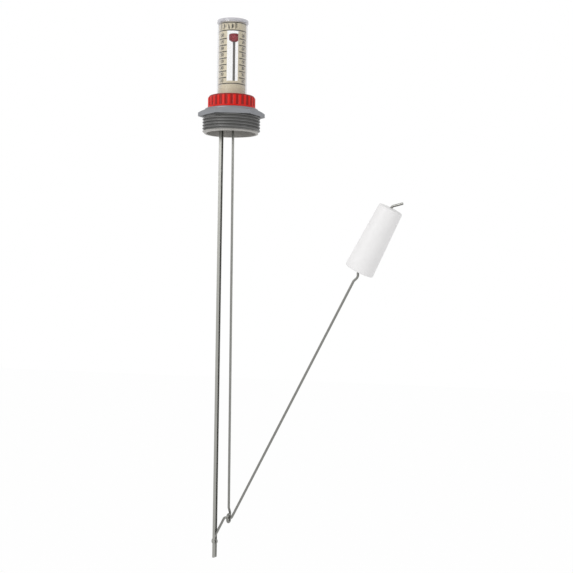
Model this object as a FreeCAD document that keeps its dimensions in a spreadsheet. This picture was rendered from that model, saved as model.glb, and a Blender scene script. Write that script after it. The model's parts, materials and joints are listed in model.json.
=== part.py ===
import FreeCAD, Part
import Sketcher
import math
import os

# Swing arm level gauge. A hollow hex bushing screws down into a tank and a clear
# vial stands on it under a ribbed collar. A float arm below swings on the foot of a
# long support strip and lifts a thin rod, whose button shows in the window of the
# rolled scale card. Lengths are millimetres and angles are degrees. The origin is the
# centre of the hex flange's underside on the thread's axis, +Z is up, +X is the side
# that the arm reaches out to, and the arm swings in the XZ plane.

SIZES = (
    # bushing, one casting with a pipe thread, open from below
    ("thread_radius", 21.08),
    ("thread_length", 12.3),
    ("thread_chamfer", 1.4),
    ("bore_radius", 18.2),
    ("hex_flat_radius", 21.15),
    ("hex_thickness", 3.9),
    ("hex_bevel_drop", 1.8),
    ("hex_corner_reach", 5.0),
    ("shoulder_radius", 19.6),
    ("shoulder_height", 1.6),
    ("shoulder_round", 0.6),
    ("neck_radius", 14.3),
    ("neck_height", 5.0),
    ("neck_bore_radius", 9.3),
    ("floor_drop", 2.0),
    ("floor_thickness", 4.0),
    ("boss_half_length", 3.4),
    ("boss_half_width", 4.2),
    ("boss_height", 6.5),
    ("slot_start", -2.5),
    ("slot_end", 7.8),
    ("slot_half_width", 1.35),
    ("slot_corner_round", 1.2),
    # vial, gasket and collar
    ("gasket_thickness", 0.8),
    ("vial_radius", 10.95),
    ("vial_wall", 0.95),
    ("vial_height", 59.4),
    ("vial_top", 1.4),
    ("vial_foot_radius", 13.4),
    ("vial_foot_thickness", 1.5),
    ("vial_lip", 0.45),
    ("vial_lip_height", 2.6),
    ("vial_lip_round", 0.4),
    ("collar_radius", 16.7),
    ("collar_lip_height", 1.2),
    ("collar_drop", 7.0),
    ("collar_plate", 2.3),
    ("collar_round", 1.0),
    ("collar_clearance", 0.15),
    ("collar_hole_clearance", 0.35),
    ("rib_height", 0.75),
    ("rib_sink", 0.3),
    ("rib_half_root", 0.78),
    ("rib_half_crest", 0.42),
    ("rib_count", 48),
    # rolled scale card
    ("card_thickness", 0.25),
    ("card_clearance", 0.05),
    ("card_top_gap", 1.2),
    ("card_turn", 28.0),
    ("card_seam", 58.0),
    ("window_width", 8.0),
    ("window_bottom", 14.5),
    ("window_height", 37.0),
    # support strip, a narrow channel with its mouth towards the arm
    ("channel_x", -8.2),
    ("channel_half_depth", 1.1),
    ("channel_half_width", 1.6),
    ("channel_wall", 0.5),
    ("channel_round", 0.35),
    ("socket_clearance", 0.05),
    ("web_end", 5.4),
    ("prong_length", 11.8),
    ("prong_round", 0.7),
    # pin at the foot of the strip and rivet at its head
    ("pin_radius", 0.65),
    ("pin_fit", 0.01),
    ("pin_head_radius", 1.15),
    ("pin_head_height", 0.5),
    ("pin_head_round", 0.3),
    ("rivet_drop", 3.4),
    # float arm, one bent wire
    ("wire_radius", 0.88),
    ("bend_radius", 1.6),
    ("pivot_depth", 309.7),
    ("pin_clearance", 0.05),
    ("eye_wrap", 257.0),
    ("crank_reach", 10.65),
    ("crank_rise", 17.9),
    ("crank_half_length", 2.8),
    ("arm_length", 195.8),
    ("arm_angle", 61.7),
    ("kink_start", 2.9),
    ("kink_flat", 1.7),
    ("kink_end", 1.8),
    ("kink_offset", 1.1),
    ("hook_gap", 1.3),
    ("hook_length", 8.0),
    ("hook_turn", 49.0),
    ("hook_bend_radius", 2.2),
    # link rod, one bent wire whose lower end is closed into an eye round the arm
    ("loop_half_width", 2.0),
    ("loop_half_height", 2.8),
    ("loop_shift", 0.6),
    ("loop_drop", 0.3),
    ("loop_end_gap", 0.1),
    ("neck_low", 1.2),
    ("neck_high", 4.9),
    ("rod_top_x", 1.2),
    ("rod_top_gap", 11.2),
    # button on the rod
    ("button_radius", 3.7),
    ("button_height", 4.3),
    ("button_round", 0.9),
    ("button_neck_radius", 1.7),
    ("button_neck_height", 1.3),
    ("button_socket_depth", 4.2),
    ("button_fit", 0.02),
    # float
    ("float_gap", 1.1),
    ("float_length", 49.6),
    ("float_radius", 10.5),
    ("float_tip_radius", 8.85),
    ("float_crown", 0.8),
    ("float_round", 2.2),
    ("float_clearance", 0.1),
)

doc = FreeCAD.newDocument("float_level_gauge")
sheet = doc.addObject("Spreadsheet::Sheet", "sizes")
for row, (alias, number) in enumerate(SIZES, start=1):
    sheet.set("A%d" % row, alias)
    sheet.set("B%d" % row, str(number))
    sheet.setAlias("B%d" % row, alias)
doc.recompute()

parts = []

# Two places or volumes that differ by less than this are the same
SAME = 1e-4

# Heights above the flange's underside, as sums of named sizes
NECK_TOP = "hex_thickness + shoulder_height + neck_height"
FOOT_LOW = NECK_TOP + " + gasket_thickness"
PLATE_LOW = FOOT_LOW + " + vial_foot_thickness"
CARD_HEIGHT = "gasket_thickness + vial_height - vial_top - card_top_gap"
# The rod ends below the vial's closed top, however deep the arm's pivot hangs
ROD_LENGTH = "pivot_depth - crank_rise + loop_drop + " + FOOT_LOW + " + vial_height - rod_top_gap"


def value(terms):
    """The number that a sum of named sizes, such as "vial_radius - vial_wall", gives now."""
    total = 0.0
    sign = 1
    for word in terms.split():
        if word in "+-":
            sign = 1 if word == "+" else -1
        elif word != "0":
            total += sign * float(sheet.get(word))
            sign = 1
    return total


def bound(terms):
    """The same sum as an expression on the sheet."""
    return " ".join(word if word in "+-0" else "sizes." + word for word in terms.split())


def new_body(label):
    body = doc.addObject("PartDesign::Body", label)
    body.Label = label
    parts.append(body)
    return body


def origin_plane(body, role):
    return next(plane for plane in body.Origin.OriginFeatures if plane.Role == role)


def new_sketch(body, name, role, height="0"):
    """An empty sketch on one of the body's planes, raised by a sum of sizes."""
    sketch = body.newObject("Sketcher::SketchObject", name)
    sketch.AttachmentSupport = [(origin_plane(body, role), "")]
    sketch.MapMode = "FlatFace"
    if height != "0":
        sketch.setExpression("AttachmentOffset.Base.z", bound(height))
    return sketch


def hold(sketch, geometry, place, direction, terms):
    """Ties one coordinate of a sketch point to a sum of sizes."""
    if terms == "0":
        axis = {"DistanceX": -2, "DistanceY": -1}[direction]
        sketch.addConstraint(Sketcher.Constraint("PointOnObject", geometry, place, axis))
        return
    number = value(terms)
    if number < 0:
        rule = Sketcher.Constraint(direction, geometry, place, -1, 1, -number)
        expression = "-(" + bound(terms) + ")"
    else:
        rule = Sketcher.Constraint(direction, -1, 1, geometry, place, number)
        expression = bound(terms)
    index = sketch.addConstraint(rule)
    sketch.renameConstraint(index, "size%d" % index)
    sketch.setExpression("Constraints.size%d" % index, expression)


def draw_outline(sketch, corners):
    """A closed outline of straight lines, with a sum of sizes for each coordinate."""
    points = [FreeCAD.Vector(value(across), value(up), 0) for across, up in corners]
    lines = [sketch.addGeometry(Part.LineSegment(start, end), False)
             for start, end in zip(points, points[1:] + points[:1])]
    for line, following in zip(lines, lines[1:] + lines[:1]):
        sketch.addConstraint(Sketcher.Constraint("Coincident", line, 2, following, 1))
    for line, (across, up) in zip(lines, corners):
        hold(sketch, line, 1, "DistanceX", across)
        hold(sketch, line, 1, "DistanceY", up)


def draw_rectangle(sketch, left, right, low, high):
    draw_outline(sketch, ((left, low), (right, low), (right, high), (left, high)))


def draw_circle(sketch, across, up, radius):
    middle = FreeCAD.Vector(value(across), value(up), 0)
    circle = sketch.addGeometry(Part.Circle(middle, FreeCAD.Vector(0, 0, 1), value(radius)), False)
    hold(sketch, circle, 3, "DistanceX", across)
    hold(sketch, circle, 3, "DistanceY", up)
    index = sketch.addConstraint(Sketcher.Constraint("Radius", circle, value(radius)))
    sketch.renameConstraint(index, "radius%d" % index)
    sketch.setExpression("Constraints.radius%d" % index, bound(radius))


def turn(body, name, corners, kind="Revolution"):
    """A revolved outline of (radius, height) corners about the body's Z axis."""
    sketch = new_sketch(body, name + "_profile", "XZ_Plane")
    draw_outline(sketch, corners)
    turned = body.newObject("PartDesign::" + kind, name)
    turned.Profile = sketch
    turned.ReferenceAxis = (sketch, ["V_Axis"])
    turned.Angle = 360
    return turned


def pad(body, name, sketch, length):
    raised = body.newObject("PartDesign::Pad", name)
    raised.Profile = sketch
    raised.setExpression("Length", bound(length))
    return raised


def pocket_both_ways(body, name, sketch, length):
    """A cut that reaches by length to each side of its sketch."""
    cut = body.newObject("PartDesign::Pocket", name)
    cut.Profile = sketch
    cut.Midplane = True
    cut.setExpression("Length", "2 * (" + bound(length) + ")")
    return cut


def fillet(body, name, base, radius, chosen):
    """Rounds those edges of a feature that the given test chooses."""
    doc.recompute()
    edges = ["Edge%d" % number for number, edge in enumerate(base.Shape.Edges, start=1) if chosen(edge)]
    if not edges:
        raise RuntimeError("no edge found for " + name)
    rounded = body.newObject("PartDesign::Fillet", name)
    rounded.Base = (base, edges)
    rounded.setExpression("Radius", bound(radius))
    return rounded


def close(first, second):
    return abs(first - second) < SAME


def ring_at(radius, height):
    """A test for a circular edge about the Z axis with this radius and height."""
    def chosen(edge):
        if not isinstance(edge.Curve, Part.Circle):
            return False
        centre = edge.Curve.Center
        on_axis = close(centre.x, 0) and close(centre.y, 0)
        return on_axis and close(edge.Curve.Radius, value(radius)) and close(centre.z, value(height))
    return chosen


def upright_at(across, aside):
    """A test for a straight edge along Z at this place in plan."""
    def chosen(edge):
        return all(close(point.Point.x, value(across)) and close(point.Point.y, value(aside))
                   for point in edge.Vertexes)
    return chosen


def stand_at(body, across, height):
    """Places a body by a sum of sizes along X and one along Z."""
    body.setExpression("Placement.Base.x", bound(across))
    body.setExpression("Placement.Base.z", bound(height))


def make_bushing():
    """Local height 0 is the lower end of the thread."""
    body = new_body("hex_bushing")
    hex_top = "thread_length + hex_thickness"
    shoulder_top = hex_top + " + shoulder_height"
    neck_top = shoulder_top + " + neck_height"
    floor_low = "thread_length - floor_drop"
    boss_low = floor_low + " - boss_height"
    shell = turn(body, "shell", (
        ("thread_radius - thread_chamfer", "0"),
        ("thread_radius", "thread_chamfer"),
        ("thread_radius", hex_top),
        ("shoulder_radius", hex_top),
        ("shoulder_radius", shoulder_top),
        ("neck_radius", shoulder_top),
        ("neck_radius", neck_top),
        ("neck_bore_radius", neck_top),
        ("neck_bore_radius", floor_low + " + floor_thickness"),
        ("0", floor_low + " + floor_thickness"),
        ("0", floor_low),
        ("bore_radius", floor_low),
        ("bore_radius", "0"),
    ))
    fillet(body, "shoulder_edge", shell, "shoulder_round", ring_at("shoulder_radius", shoulder_top))

    flange = body.newObject("PartDesign::AdditivePrism", "hex_flange")
    flange.Polygon = 6
    flange.setExpression("Circumradius", "2 * sizes.hex_flat_radius / sqrt(3)")
    flange.setExpression("Height", "sizes.hex_thickness")
    flange.AttachmentSupport = [(origin_plane(body, "XY_Plane"), "")]
    flange.MapMode = "FlatFace"
    quarter_turn = FreeCAD.Rotation(FreeCAD.Vector(0, 0, 1), 90)
    flange.AttachmentOffset = FreeCAD.Placement(FreeCAD.Vector(), quarter_turn)
    flange.setExpression("AttachmentOffset.Base.z", "sizes.thread_length")
    turn(body, "corner_bevel", (
        ("hex_flat_radius", hex_top),
        ("hex_flat_radius + hex_corner_reach", hex_top),
        ("hex_flat_radius + hex_corner_reach", hex_top + " - hex_bevel_drop"),
    ), "Groove")

    boss = new_sketch(body, "boss_plan", "XY_Plane", boss_low)
    draw_rectangle(boss, "channel_x - boss_half_length", "channel_x + boss_half_length",
                   "- boss_half_width", "boss_half_width")
    pad(body, "strip_boss", boss, "boss_height")
    socket = new_sketch(body, "socket_plan", "XY_Plane", boss_low)
    side = "channel_half_depth + socket_clearance"
    width = "channel_half_width + socket_clearance"
    draw_rectangle(socket, "channel_x - channel_half_depth - socket_clearance",
                   "channel_x + " + side, "- channel_half_width - socket_clearance", width)
    pocket_both_ways(body, "strip_socket", socket, "boss_height")

    rivet_hole = new_sketch(body, "rivet_hole_face", "XZ_Plane")
    draw_circle(rivet_hole, "channel_x", floor_low + " - rivet_drop", "pin_radius + pin_fit")
    pocket_both_ways(body, "rivet_hole", rivet_hole, "boss_half_width + pin_head_height")

    slot = new_sketch(body, "rod_slot_plan", "XY_Plane", floor_low)
    draw_rectangle(slot, "slot_start", "slot_end", "- slot_half_width", "slot_half_width")
    through = pocket_both_ways(body, "rod_slot", slot, "floor_thickness + floor_thickness")

    at_corner = [upright_at(across, aside) for across in ("slot_start", "slot_end")
                 for aside in ("- slot_half_width", "slot_half_width")]
    fillet(body, "rod_slot_ends", through, "slot_corner_round",
           lambda edge: any(chosen(edge) for chosen in at_corner))
    stand_at(body, "0", "- thread_length")


def make_gasket():
    body = new_body("vial_gasket")
    inner = "vial_radius - vial_wall"
    turn(body, "ring", ((inner, "0"), ("vial_foot_radius", "0"),
                        ("vial_foot_radius", "gasket_thickness"), (inner, "gasket_thickness")))
    stand_at(body, "0", NECK_TOP)


def make_vial():
    body = new_body("vial")
    inner = "vial_radius - vial_wall"
    lip = "vial_radius + vial_lip"
    wall = turn(body, "wall", (
        (inner, "0"),
        ("vial_foot_radius", "0"),
        ("vial_foot_radius", "vial_foot_thickness"),
        ("vial_radius", "vial_foot_thickness"),
        ("vial_radius", "vial_height - vial_lip_height"),
        (lip, "vial_height - vial_lip_height"),
        (lip, "vial_height"),
        ("0", "vial_height"),
        ("0", "vial_height - vial_top"),
        (inner, "vial_height - vial_top"),
    ))
    top = fillet(body, "lip_top", wall, "vial_lip_round", ring_at(lip, "vial_height"))
    fillet(body, "lip_low", top, "vial_lip_round", ring_at(lip, "vial_height - vial_lip_height"))
    stand_at(body, "0", FOOT_LOW)


def make_card():
    """The seam is at local -X and the window at local +X."""
    body = new_body("scale_card")
    outer = "vial_radius - vial_wall - card_clearance"
    inner = outer + " - card_thickness"
    roll = turn(body, "roll", ((inner, "0"), (outer, "0"), (outer, CARD_HEIGHT), (inner, CARD_HEIGHT)))
    roll.Midplane = True
    roll.setExpression("Angle", "360 - sizes.card_seam")
    window = body.newObject("PartDesign::SubtractiveBox", "window")
    window.AttachmentSupport = [(origin_plane(body, "XY_Plane"), "")]
    window.MapMode = "FlatFace"
    window.setExpression("Length", "sizes.vial_radius")
    window.setExpression("Width", "sizes.window_width")
    window.setExpression("Height", "sizes.window_height")
    window.setExpression("AttachmentOffset.Base.y", "-sizes.window_width / 2")
    window.setExpression("AttachmentOffset.Base.z", "sizes.window_bottom")
    body.Placement = FreeCAD.Placement(FreeCAD.Vector(), FreeCAD.Rotation(FreeCAD.Vector(0, 0, 1), 1))
    body.setExpression("Placement.Rotation.Angle", "sizes.card_turn - 90")
    stand_at(body, "0", NECK_TOP)


def make_collar():
    """Local height 0 is the lower edge of the skirt."""
    body = new_body("lock_collar")
    height = "collar_drop + collar_plate"
    crest = "collar_radius + rib_height"
    hole = "vial_radius + collar_hole_clearance"
    skirt = "neck_radius + collar_clearance"
    blank = turn(body, "blank", (
        (skirt, "0"),
        (crest, "0"),
        (crest, "collar_lip_height"),
        ("collar_radius", "collar_lip_height"),
        ("collar_radius", height),
        (hole, height),
        (hole, "collar_drop"),
        (skirt, "collar_drop"),
    ))
    fillet(body, "top_edge", blank, "collar_round", ring_at("collar_radius", height))
    plan = new_sketch(body, "rib_plan", "XY_Plane", "collar_lip_height")
    draw_outline(plan, (
        ("collar_radius - rib_sink", "- rib_half_root"),
        (crest, "- rib_half_crest"),
        (crest, "rib_half_crest"),
        ("collar_radius - rib_sink", "rib_half_root"),
    ))
    rib = pad(body, "rib", plan, height + " - collar_round - collar_lip_height")
    ribs = body.newObject("PartDesign::PolarPattern", "ribs")
    ribs.Originals = [rib]
    ribs.Axis = (plan, ["N_Axis"])
    ribs.Angle = 360
    ribs.setExpression("Occurrences", "sizes.rib_count")
    body.Tip = ribs
    stand_at(body, "0", PLATE_LOW + " - collar_drop")


def make_channel():
    """Local height 0 is the tip of the two prongs."""
    body = new_body("support_channel")
    back = "- channel_half_depth"
    floor = "channel_wall - channel_half_depth"
    inside = "channel_half_width - channel_wall"
    section = new_sketch(body, "section", "XY_Plane")
    draw_outline(section, (
        (back, "- channel_half_width"),
        ("channel_half_depth", "- channel_half_width"),
        ("channel_half_depth", "channel_wall - channel_half_width"),
        (floor, "channel_wall - channel_half_width"),
        (floor, inside),
        ("channel_half_depth", inside),
        ("channel_half_depth", "channel_half_width"),
        (back, "channel_half_width"),
    ))
    strip = pad(body, "strip", section, "prong_length + pivot_depth - floor_drop")
    near_bend = upright_at(back, "- channel_half_width")
    far_bend = upright_at(back, "channel_half_width")
    fillet(body, "sheet_bends", strip, "channel_round", lambda edge: near_bend(edge) or far_bend(edge))
    opening = new_sketch(body, "web_opening_plan", "XY_Plane")
    draw_rectangle(opening, "- channel_half_depth - channel_wall", floor,
                   "channel_wall - channel_half_width", inside)
    web_cut = pocket_both_ways(body, "web_opening", opening, "prong_length + web_end")
    fillet(body, "prong_tips", web_cut, "prong_round", lambda edge: all(
        close(point.Point.z, 0) and close(point.Point.x, value("channel_half_depth"))
        for point in edge.Vertexes))
    for name, height in (("pin_hole", "prong_length"),
                         ("rivet_hole", "prong_length + pivot_depth - floor_drop - rivet_drop")):
        face = new_sketch(body, name + "_face", "XZ_Plane")
        draw_circle(face, "0", height, "pin_radius + pin_fit")
        pocket_both_ways(body, name, face, "channel_half_width + channel_wall")
    stand_at(body, "channel_x", "- prong_length - pivot_depth")


def make_rivet(label, half_grip, height):
    """A headed pin along Y through the strip, with its middle at the given height."""
    body = new_body(label)
    end = half_grip + " + pin_head_height"
    low_grip = "- " + half_grip
    low_end = low_grip + " - pin_head_height"
    shank = turn(body, "shank", (
        ("0", low_end),
        ("pin_head_radius", low_end),
        ("pin_head_radius", low_grip),
        ("pin_radius", low_grip),
        ("pin_radius", half_grip),
        ("pin_head_radius", half_grip),
        ("pin_head_radius", end),
        ("0", end),
    ))
    high_rim = ring_at("pin_head_radius", end)
    low_rim = ring_at("pin_head_radius", low_end)
    fillet(body, "head_rims", shank, "pin_head_round", lambda edge: high_rim(edge) or low_rim(edge))
    body.Placement = FreeCAD.Placement(FreeCAD.Vector(), FreeCAD.Rotation(FreeCAD.Vector(1, 0, 0), 90))
    stand_at(body, "channel_x", height)


# Bent wires: straight runs joined by tangent arcs, in a plane of their own

def heading(angle):
    """The unit vector in the XZ plane at an angle above +X."""
    return FreeCAD.Vector(math.cos(math.radians(angle)), 0, math.sin(math.radians(angle)))


def arc_about(centre, first_arm, second_arm, sweep):
    """An arc about centre from first_arm, turned towards second_arm by sweep degrees."""
    def place(angle):
        return centre + first_arm * math.cos(angle) + second_arm * math.sin(angle)
    turn_by = math.radians(sweep)
    return Part.Arc(place(0), place(turn_by / 2), place(turn_by)).toShape(), place(turn_by)


def bent_run(corners, radii):
    """Edges through the corners, with each inner corner rounded by its radius."""
    edges = []
    start = corners[0]
    for before, corner, after, radius in zip(corners, corners[1:], corners[2:], radii):
        towards = (corner - before).normalize()
        away = (after - corner).normalize()
        half_turn = towards.getAngle(away) / 2
        cut = radius * math.tan(half_turn)
        arc_start = corner - towards * cut
        arc_end = corner + away * cut
        inward = (away - towards).normalize()
        middle = corner + inward * (radius / math.cos(half_turn) - radius)
        edges.append(Part.LineSegment(start, arc_start).toShape())
        edges.append(Part.Arc(arc_start, middle, arc_end).toShape())
        start = arc_end
    edges.append(Part.LineSegment(start, corners[-1]).toShape())
    return edges


def swept_wire(label, edges, start, direction):
    """A round wire along the joined edges, as one solid."""
    section = Part.Wire([Part.Circle(start, direction, value("wire_radius")).toShape()])
    solid = Part.Wire(edges).makePipeShell([section], True, True)
    feature = doc.addObject("Part::Feature", label)
    feature.Label = label
    feature.Shape = solid
    parts.append(feature)
    return feature


def crank_centre():
    """The middle of the short level step of the arm, where the rod's eye hangs."""
    return FreeCAD.Vector(value("channel_x + crank_reach"), 0, value("crank_rise - pivot_depth"))


def float_foot():
    """The point on the arm's upper run where the kink ends and the float begins."""
    corner = crank_centre() + FreeCAD.Vector(value("crank_half_length"), 0, 0)
    along = heading(value("arm_angle"))
    return corner + along * value("arm_length + kink_start + kink_flat + kink_end + float_gap")


def make_arm():
    pivot = FreeCAD.Vector(value("channel_x"), 0, value("- pivot_depth"))
    low_corner = crank_centre() - FreeCAD.Vector(value("crank_half_length"), 0, 0)
    high_corner = crank_centre() + FreeCAD.Vector(value("crank_half_length"), 0, 0)
    eye_radius = value("pin_radius + pin_clearance + wire_radius")
    to_corner = low_corner - pivot
    lean = math.degrees(math.atan2(to_corner.z, to_corner.x))
    rise = lean - math.degrees(math.asin(eye_radius / to_corner.Length))
    leaving = heading(rise)
    outward = heading(rise + 90)
    eye, eye_end = arc_about(pivot, outward * eye_radius, leaving * -eye_radius, value("eye_wrap"))

    along = heading(value("arm_angle"))
    across = heading(value("arm_angle") - 90)
    kink = high_corner + along * value("arm_length")
    offset = across * value("kink_offset")
    foot = float_foot()
    float_top = foot + along * value("float_length")
    hook_corner = float_top + along * value("hook_gap")
    hook_end = hook_corner + heading(value("arm_angle - hook_turn")) * value("hook_length")
    corners = [
        pivot + outward * eye_radius,
        low_corner,
        high_corner,
        kink,
        kink + along * value("kink_start") + offset,
        kink + along * value("kink_start + kink_flat") + offset,
        kink + along * value("kink_start + kink_flat + kink_end"),
        hook_corner,
        hook_end,
    ]
    bend = value("bend_radius")
    runs = bent_run(corners, [bend] * 6 + [value("hook_bend_radius")])
    # the wire is swept from its hooked end down to the eye
    swept_wire("float_arm", [eye] + runs, hook_end, hook_end - hook_corner)


def make_rod():
    """Drawn upright about the eye's middle, then leaned to its top end's place."""
    half_width = value("loop_half_width")
    side_end = value("loop_half_height - loop_half_width")

    def point(aside, up):
        return FreeCAD.Vector(0, aside, up)

    top = point(0, value(ROD_LENGTH))
    corners = [
        top,
        point(0, value("loop_half_height + neck_high")),
        point(half_width, value("loop_half_height + neck_low")),
        point(half_width, -side_end),
    ]
    shank = bent_run(corners, [value("bend_radius")] * 2)
    aside = FreeCAD.Vector(0, half_width, 0)
    up = FreeCAD.Vector(0, 0, half_width)
    under, under_end = arc_about(point(0, -side_end), aside, -up, 180)
    back = Part.LineSegment(under_end, point(-half_width, side_end)).toShape()
    reach = half_width - value("wire_radius + loop_end_gap")
    last_angle = math.degrees(math.acos(reach / (half_width + value("wire_radius"))))
    over, over_end = arc_about(point(0, side_end), -aside, up, 180 - last_angle)
    rod = swept_wire("link_rod", shank + [under, back, over], top, FreeCAD.Vector(0, 0, 1))
    rod.Placement = rod_placement()


def rod_placement():
    middle = crank_centre() + FreeCAD.Vector(value("loop_shift"), 0, value("- loop_drop"))
    lean = math.degrees(math.asin((value("rod_top_x") - middle.x) / value(ROD_LENGTH)))
    return FreeCAD.Placement(middle, FreeCAD.Rotation(FreeCAD.Vector(0, 1, 0), lean))


def make_button():
    body = new_body("indicator")
    hole = "wire_radius + button_fit"
    top = "button_neck_height + button_height"
    knob = turn(body, "knob", (
        (hole, "0"),
        ("button_neck_radius", "0"),
        ("button_radius", "button_neck_height"),
        ("button_radius", top),
        ("0", top),
        ("0", "button_socket_depth"),
        (hole, "button_socket_depth"),
    ))
    fillet(body, "knob_edge", knob, "button_round", ring_at("button_radius", top))
    seat = FreeCAD.Placement(FreeCAD.Vector(0, 0, value(ROD_LENGTH + " - button_socket_depth")),
                             FreeCAD.Rotation())
    body.Placement = rod_placement().multiply(seat)


def make_float():
    body = new_body("float")
    hole = "wire_radius + float_clearance"
    crown = "float_crown"
    taper = turn(body, "taper", (
        (hole, "0"),
        ("float_radius", crown),
        ("float_tip_radius", "float_length - float_crown"),
        (hole, "float_length"),
    ))
    low_rim = ring_at("float_radius", crown)
    high_rim = ring_at("float_tip_radius", "float_length - float_crown")
    fillet(body, "rims", taper, "float_round", lambda edge: low_rim(edge) or high_rim(edge))
    turn_by = FreeCAD.Rotation(FreeCAD.Vector(0, 1, 0), 90 - value("arm_angle"))
    body.Placement = FreeCAD.Placement(float_foot(), turn_by)


def check_document():
    """Stops when an object failed, a shape is unsound or a feature changed nothing."""
    doc.recompute()
    for item in doc.Objects:
        if "Invalid" in item.State or "Error" in item.State:
            raise RuntimeError(item.Name + " failed: " + str(item.State))
    for part in parts:
        if part.Shape.isNull() or not part.Shape.isValid() or len(part.Shape.Solids) != 1:
            raise RuntimeError(part.Label + " has no sound single solid")
        volume = 0.0
        for feature in getattr(part, "Group", []):
            if not feature.isDerivedFrom("PartDesign::Feature"):
                continue
            if close(feature.Shape.Volume, volume):
                raise RuntimeError(part.Label + ": " + feature.Name + " changes nothing")
            volume = feature.Shape.Volume


make_bushing()
make_gasket()
make_vial()
make_card()
make_collar()
make_channel()
make_rivet("support_rivet", "boss_half_width", "- floor_drop - rivet_drop")
make_rivet("pivot_pin", "channel_half_width", "- pivot_depth")
make_arm()
make_rod()
make_button()
make_float()
check_document()

os.makedirs("parts", exist_ok=True)
for part in parts:
    part.Shape.exportStep("parts/" + part.Label + ".step")
    box = part.Shape.BoundBox
    print("%-16s volume %9.1f  x %7.2f %7.2f  y %6.2f %6.2f  z %7.2f %7.2f" % (
        part.Label, part.Shape.Volume, box.XMin, box.XMax, box.YMin, box.YMax, box.ZMin, box.ZMax))
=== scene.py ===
import json
import math

import bmesh
import bpy
from bpy.props import FloatProperty, FloatVectorProperty, IntProperty, PointerProperty
from mathutils import Matrix, Vector

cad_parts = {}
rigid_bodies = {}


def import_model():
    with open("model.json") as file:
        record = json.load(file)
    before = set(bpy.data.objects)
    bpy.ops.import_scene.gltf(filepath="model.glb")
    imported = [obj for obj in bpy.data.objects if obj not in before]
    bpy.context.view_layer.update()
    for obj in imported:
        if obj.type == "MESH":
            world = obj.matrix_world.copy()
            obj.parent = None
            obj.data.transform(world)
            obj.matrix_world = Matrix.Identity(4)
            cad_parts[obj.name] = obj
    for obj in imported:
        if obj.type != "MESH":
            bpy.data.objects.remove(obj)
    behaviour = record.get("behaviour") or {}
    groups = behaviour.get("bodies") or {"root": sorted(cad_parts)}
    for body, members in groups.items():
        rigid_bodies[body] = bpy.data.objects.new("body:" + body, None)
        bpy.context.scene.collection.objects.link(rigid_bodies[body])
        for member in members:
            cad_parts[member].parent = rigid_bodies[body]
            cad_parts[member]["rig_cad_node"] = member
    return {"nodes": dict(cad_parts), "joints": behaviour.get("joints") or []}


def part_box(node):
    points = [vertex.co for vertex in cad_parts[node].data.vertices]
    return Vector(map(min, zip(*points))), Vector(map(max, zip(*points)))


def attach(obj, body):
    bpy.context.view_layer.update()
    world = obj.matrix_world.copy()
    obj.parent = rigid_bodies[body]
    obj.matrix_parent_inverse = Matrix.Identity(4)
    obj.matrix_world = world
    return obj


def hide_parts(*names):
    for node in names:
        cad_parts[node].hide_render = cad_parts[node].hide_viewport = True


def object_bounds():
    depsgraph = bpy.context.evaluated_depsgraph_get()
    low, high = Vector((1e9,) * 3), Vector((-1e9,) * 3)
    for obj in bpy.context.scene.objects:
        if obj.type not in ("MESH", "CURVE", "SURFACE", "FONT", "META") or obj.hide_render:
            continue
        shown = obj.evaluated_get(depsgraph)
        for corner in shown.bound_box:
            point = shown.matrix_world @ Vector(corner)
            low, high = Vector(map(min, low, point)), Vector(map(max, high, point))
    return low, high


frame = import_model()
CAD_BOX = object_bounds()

# The looks of a float level gauge: a clear vial with a rolled scale card on a threaded
# hex bushing, and a strip, a wire arm, a thin rod and a float below it. Lengths are
# metres in the frame of the solids: Z up the thread's axis, origin at the centre of the
# hex flange's underside, and the arm reaches out to +X.

bl_info = {
    "name": "Float Level Gauge",
    "version": (1, 0, 0),
    "blender": (4, 5, 0),
    "location": "View3D > Sidebar > Level Gauge",
    "description": "Dresses the packed solids of a float level gauge and lights them",
    "category": "Object",
}

MM = 0.001
IMAGE_PIXELS = 573

# Places read from the solids
COLLAR_LOW, COLLAR_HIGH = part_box("lock_collar")
THREAD_LENGTH = -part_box("hex_bushing")[0].z
CARD_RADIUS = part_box("scale_card")[1].x
VIAL_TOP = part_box("vial")[1].z

# Sizes of the solids that their boxes don't give
THREAD_RADIUS = 21.08 * MM
THREAD_CHAMFER = 1.4 * MM
BORE_RADIUS = 18.2 * MM
VIAL_LIP = 2.6 * MM
COLLAR_WALL = 16.7 * MM

# Node settings that are used often, and the colour sockets of a Mix node, which share their names
MATH = "ShaderNodeMath"
PLUS = {"operation": "ADD"}
MINUS = {"operation": "SUBTRACT"}
TIMES = {"operation": "MULTIPLY"}
OVER = {"operation": "DIVIDE"}
LEAST = {"operation": "MINIMUM"}
MOST = {"operation": "MAXIMUM"}
LENGTH = {"operation": "LENGTH"}
COLOUR_MIX = {"data_type": "RGBA"}
SMOOTH_STEP = {"interpolation_type": "SMOOTHSTEP"}
MIX_FIRST = 6
MIX_SECOND = 7
MIX_RESULT = 2


def linear(hex_text):
    """The linear colour of an sRGB hex value such as #C62820."""
    parts = [int(hex_text[place:place + 2], 16) / 255 for place in (1, 3, 5)]
    return [part / 12.92 if part <= 0.04045 else ((part + 0.055) / 1.055) ** 2.4 for part in parts]


def colour(name, description, hex_text):
    return FloatVectorProperty(name=name, description=description, subtype="COLOR", size=3,
                               min=0, max=1, default=linear(hex_text))


def length(name, description, default):
    return FloatProperty(name=name, description=description, default=default, min=0,
                         unit="LENGTH", precision=5)


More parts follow.
